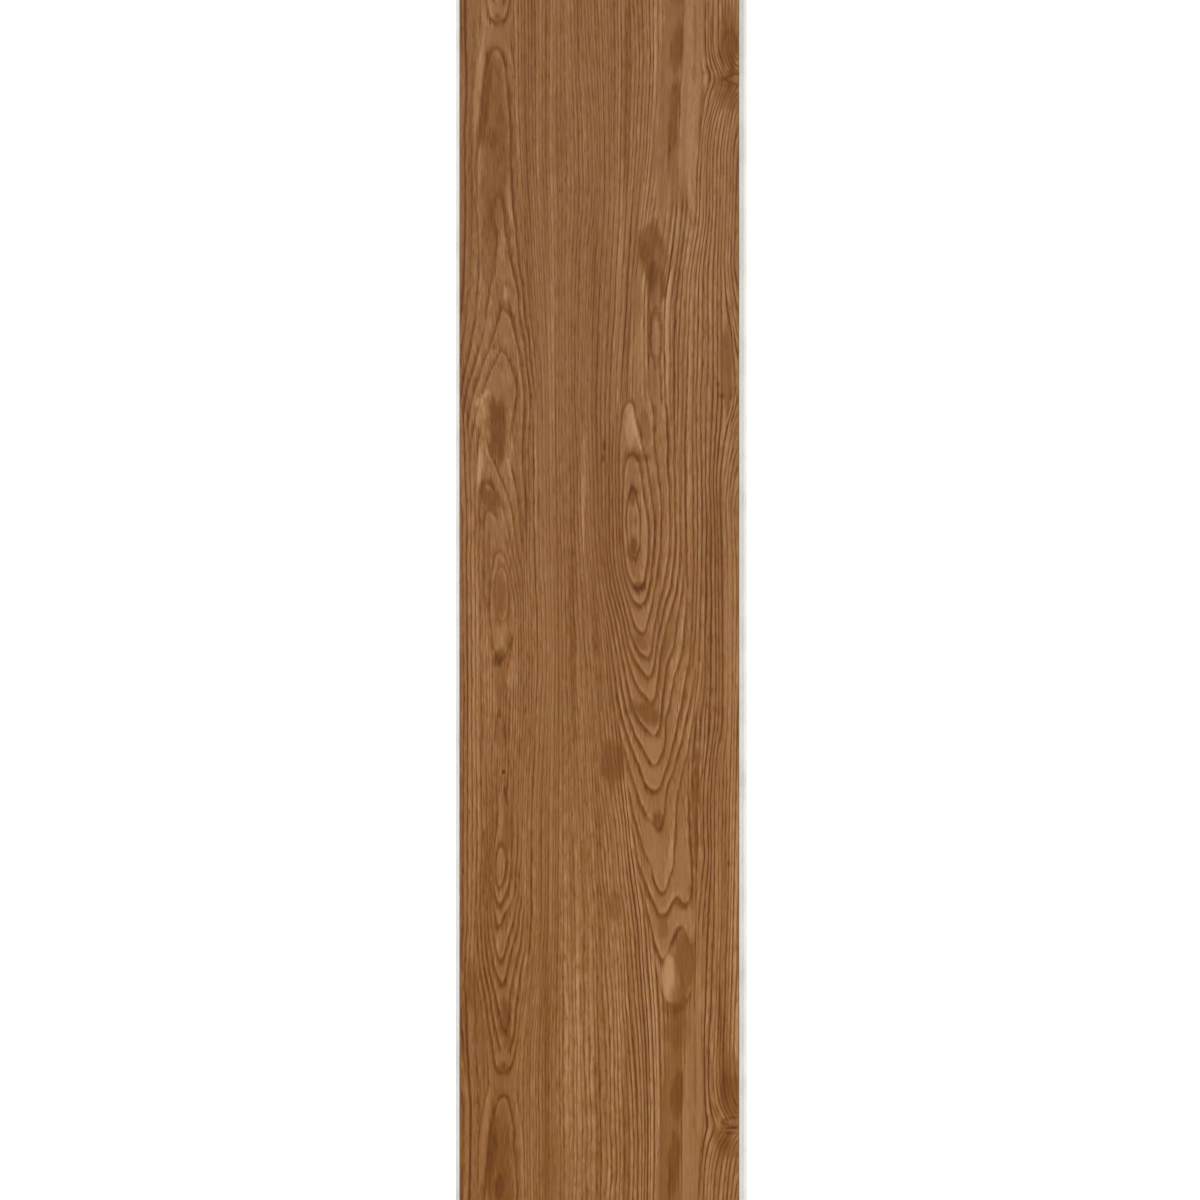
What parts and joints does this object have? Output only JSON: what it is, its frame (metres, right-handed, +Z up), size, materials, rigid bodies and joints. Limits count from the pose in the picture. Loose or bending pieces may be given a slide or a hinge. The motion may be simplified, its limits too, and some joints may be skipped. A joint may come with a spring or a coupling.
{
  "type": "rigid core vinyl plank",
  "caption": "Flat rigid floor plank with a printed oak-look face, bevelled edges, a tongue and groove on its long edges and drop-lock hooks on its ends.",
  "frame": {"origin": "on the underside, below the middle of the laid face, the face between the four joint lines", "axes": "+X across the plank from the tongue edge to the groove edge, +Y along it from the upper-hook end to the lower-hook end, +Z up out of the printed face"},
  "size_m": [0.1871, 1.2254, 0.005],
  "materials": {
    "printed_board": "satin"
  },
  "bodies": {
    "root": {"plank": "printed_board"}
  },
  "joints": []
}
